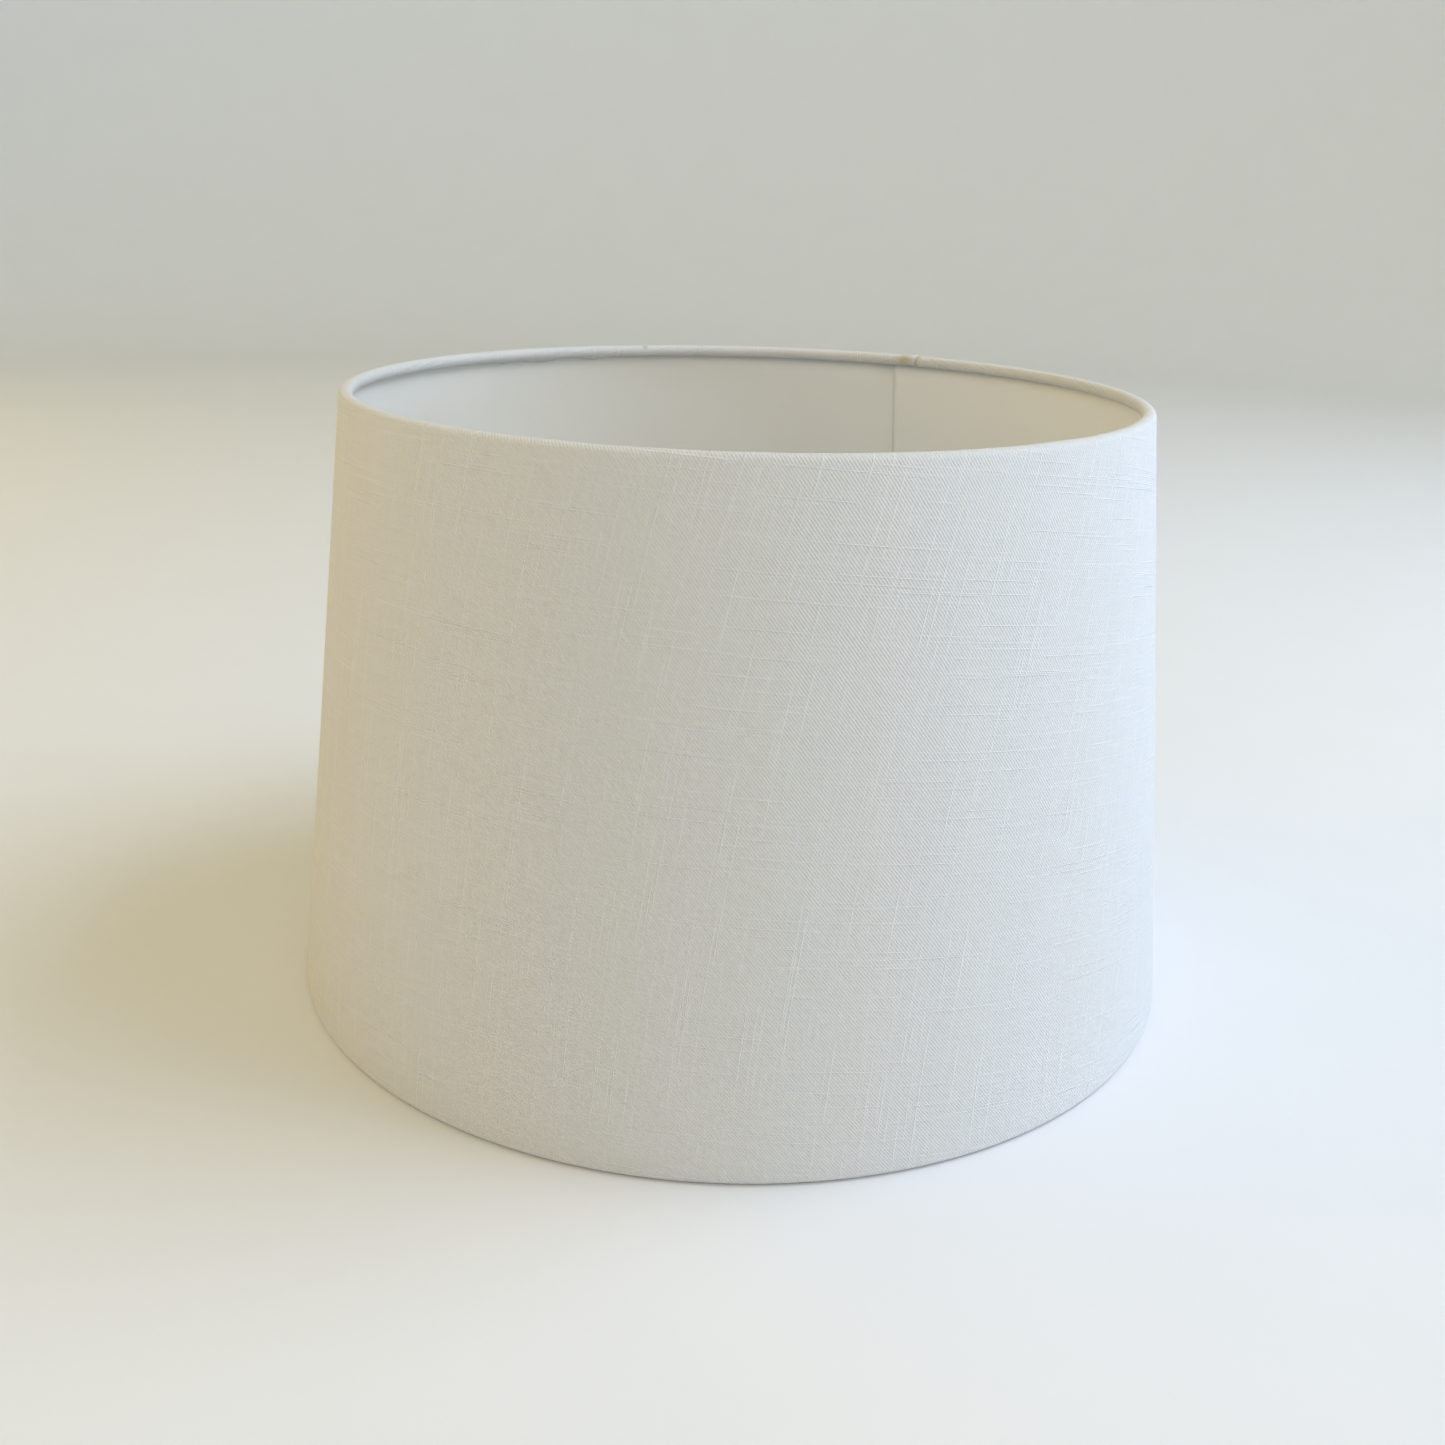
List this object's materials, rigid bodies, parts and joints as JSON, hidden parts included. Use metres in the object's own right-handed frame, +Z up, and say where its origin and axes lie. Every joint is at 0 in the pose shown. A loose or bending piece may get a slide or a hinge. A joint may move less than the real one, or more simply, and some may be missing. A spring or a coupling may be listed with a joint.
{
  "type": "lamp shade",
  "caption": "Tapered drum lamp shade of slub cloth on a stiff lining, with rolled hems over wire rings, and a recessed fitter with a lift-out reducer ring at the wide end.",
  "frame": {"origin": "on the shade's axis, in the plane that the bottom rim stands on", "axes": "+Z up the shade's axis, from the wide bottom rim to the narrower top rim; -Y is the side the picture is taken from, and the seam is at the back, towards +X"},
  "size_m": [0.35, 0.35, 0.23],
  "materials": {
    "cloth": "matt slub weave",
    "lining": "smooth satin",
    "tape": "clear adhesive film",
    "wire": "white stove enamel",
    "fitter_steel": "white stove enamel",
    "reducer_plastic": "moulded satin"
  },
  "bodies": {
    "shade": {"outer_fabric": "cloth", "backing_panel": "lining", "seam_tape": "tape", "top_ring": "wire", "bottom_ring": "wire", "top_ring_tape": "tape", "bottom_ring_tape": "tape", "spoke_1": "wire", "spoke_2": "wire", "spoke_3": "wire", "fitter_ring": "fitter_steel"},
    "reducer": {"reducer_ring": "reducer_plastic"}
  },
  "joints": [
    {"name": "reducer_lift", "type": "slide", "parent": "shade", "child": "reducer", "axis": [0, 0, 1], "range_m": [0, 0.05]}
  ]
}
